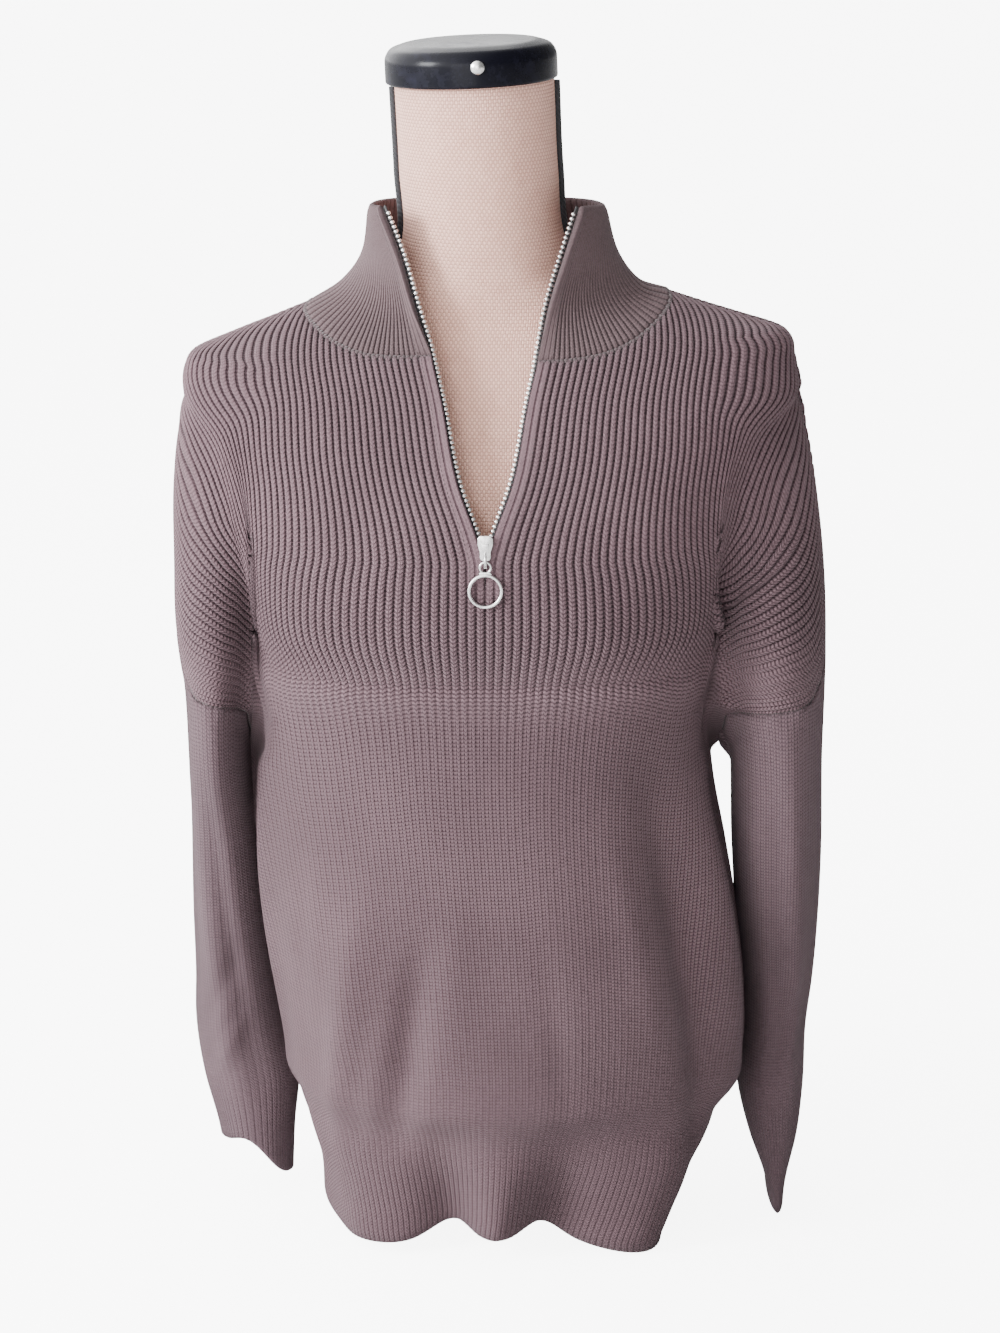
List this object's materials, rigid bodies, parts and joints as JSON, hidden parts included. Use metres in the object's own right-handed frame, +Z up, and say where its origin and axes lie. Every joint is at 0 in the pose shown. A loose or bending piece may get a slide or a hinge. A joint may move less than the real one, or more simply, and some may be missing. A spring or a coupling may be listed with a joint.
{
  "type": "quarter zip sweater on a dress form",
  "caption": "Chunky rib-knit pullover with a stand collar, an open quarter zip and a ring pull, draped on a limbless burlap dress form that stands on a round base.",
  "frame": {"origin": "on the table under the middle line of the sweater, on the underside of the stand's base", "axes": "+Z up, the sweater's front and zip face -Y, +X is the wearer's left, which is on the right in a front view"},
  "size_m": [0.4635, 0.2664, 0.8509],
  "materials": {
    "rib_knit": "matte warm taupe rib knit",
    "collar_knit": "matte finer taupe rib knit",
    "zip_tape": "black woven tape",
    "zip_metal": "bright nickel plate",
    "burlap": "coarse beige plain weave",
    "piping": "black cord",
    "black_lacquer": "glossy black",
    "steel": "satin steel",
    "black_paint": "satin black"
  },
  "bodies": {
    "garment": {"front_panel": "rib_knit", "back_panel": "rib_knit", "sleeve_left": "rib_knit", "sleeve_right": "rib_knit", "collar": "collar_knit", "zip_tape_left": "zip_tape", "zip_tape_right": "zip_tape", "zip_slider": "zip_metal", "form_torso": "burlap", "neck_piping_left": "piping", "neck_piping_right": "piping", "neck_cap": "black_lacquer", "cap_rivet": "steel", "stand_pole": "steel", "stand_base": "black_paint"},
    "pull": {"zip_pull": "zip_metal"}
  },
  "joints": [
    {"name": "pull_swing", "type": "hinge", "parent": "garment", "child": "pull", "pos_m": [0, -0.1382, 0.5124], "axis": [-1, 0, 0], "range_deg": [0, 150]}
  ]
}
